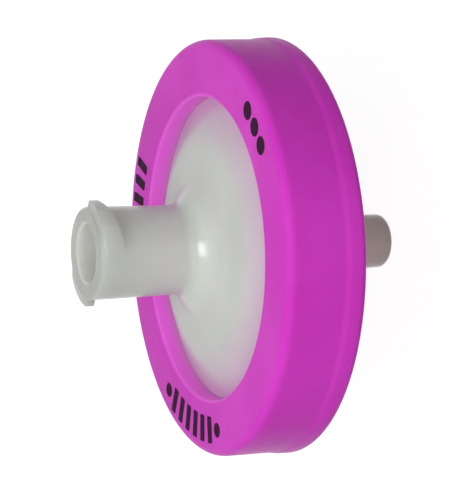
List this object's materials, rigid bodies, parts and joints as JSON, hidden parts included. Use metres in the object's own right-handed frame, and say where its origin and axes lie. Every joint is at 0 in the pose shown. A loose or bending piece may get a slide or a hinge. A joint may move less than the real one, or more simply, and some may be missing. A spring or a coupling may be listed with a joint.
{
  "type": "syringe filter",
  "caption": "Disc syringe filter: coloured overmoulded ring, pale moulded housings, female luer lock inlet, male luer slip outlet and an enclosed membrane disc.",
  "frame": {"origin": "on the flow axis, at the flat end of the male luer outlet, which is the lowest point", "axes": "+Z along the flow axis from the outlet up to the inlet mouth; +X through the steep end of one luer lock lug, to within 9 degrees; +Y completes a right-handed frame"},
  "size_m": [0.031, 0.031, 0.024],
  "materials": {
    "magenta_plastic": "satin magenta polypropylene, moulded over the rims of both housings",
    "natural_plastic": "glossy, milky, slightly translucent natural polypropylene",
    "membrane": "matt white microporous membrane",
    "print_ink": "dark pad-printed ink"
  },
  "bodies": {
    "root": {"overmould_ring": "magenta_plastic", "inlet_housing": "natural_plastic", "outlet_housing": "natural_plastic", "membrane_disc": "membrane"}
  },
  "joints": []
}
